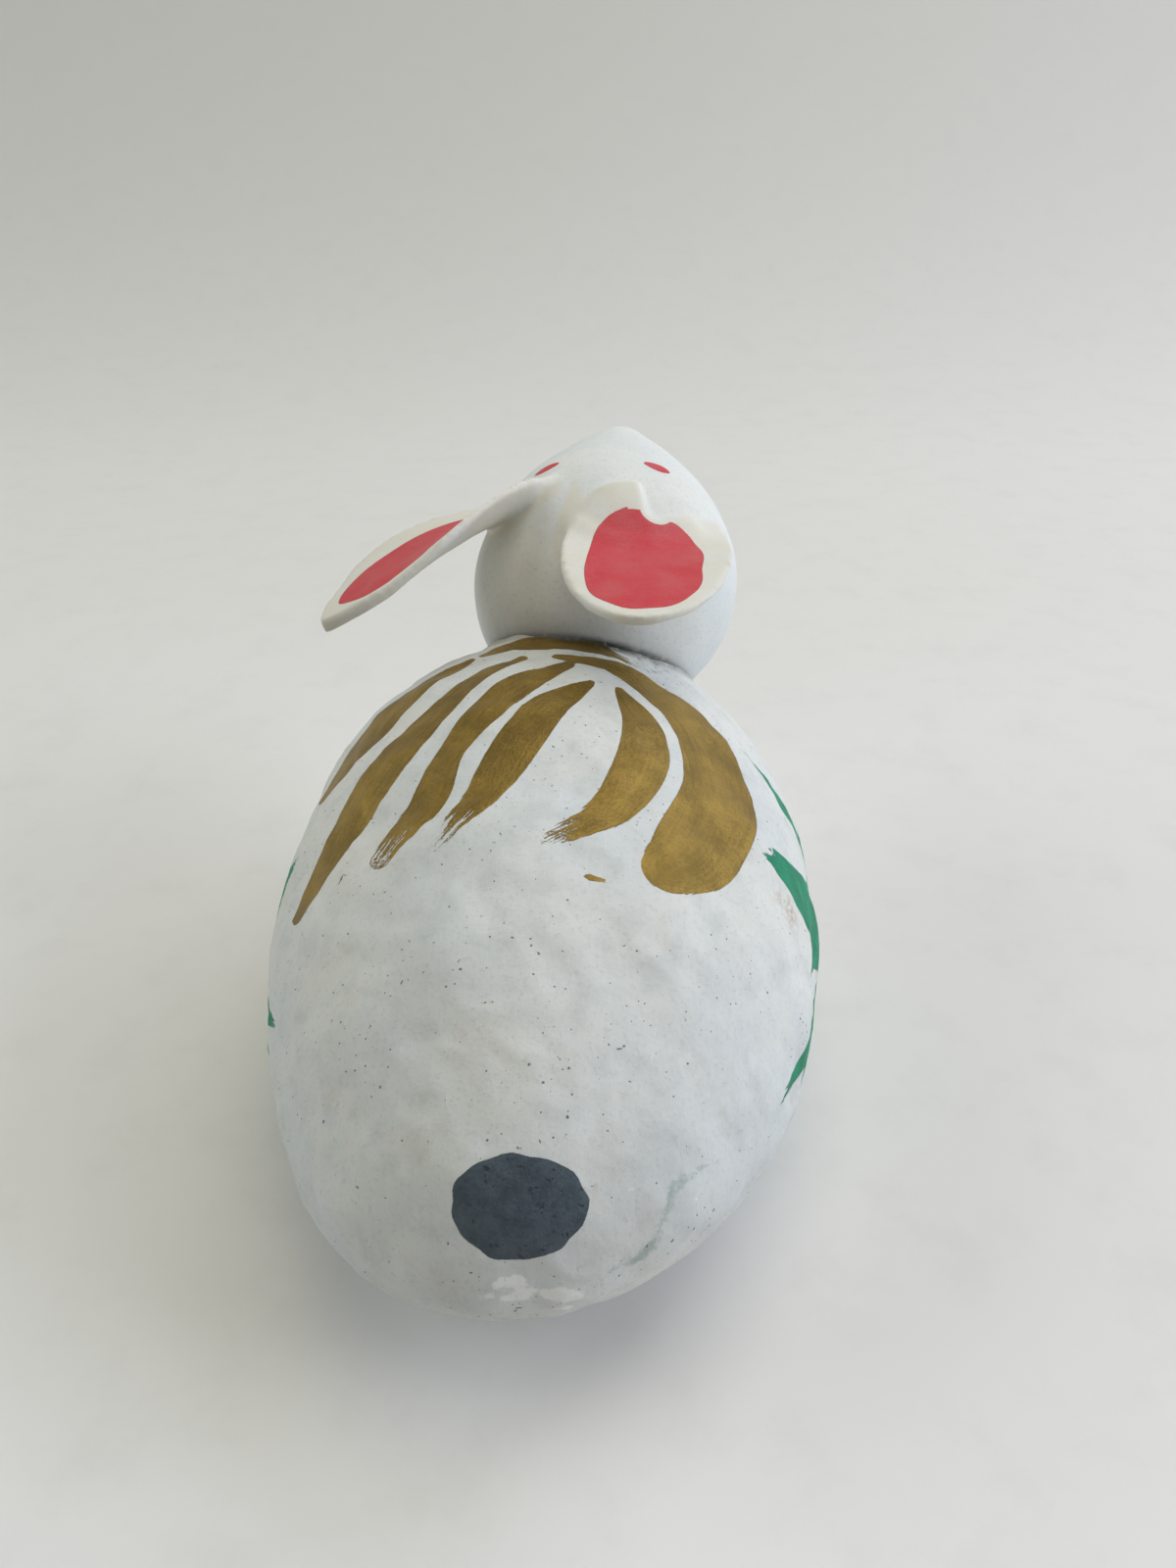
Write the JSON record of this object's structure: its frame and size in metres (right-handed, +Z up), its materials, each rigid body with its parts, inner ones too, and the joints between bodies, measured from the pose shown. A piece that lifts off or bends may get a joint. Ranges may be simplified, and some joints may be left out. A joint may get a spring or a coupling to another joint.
{
  "type": "papier-mache rabbit figure",
  "caption": "Papier-mache rabbit with an egg-shaped white body, a smaller head with red-faced ears, a dark tail spot, green leaves on its flanks and gold brushwork on its back.",
  "frame": {"origin": "on the flat underside, below the body's widest section", "axes": "+Z up, +Y the way the rabbit faces, +X to its right"},
  "size_m": [0.0887, 0.1596, 0.0917],
  "materials": {
    "body_paint": "matt chalk-white paint over pasted paper, with gold, green and slate brushwork",
    "head_paint": "matt chalk-white paint over pasted paper, with red ears and eyes"
  },
  "bodies": {
    "root": {"body": "body_paint", "head": "head_paint"}
  },
  "joints": []
}
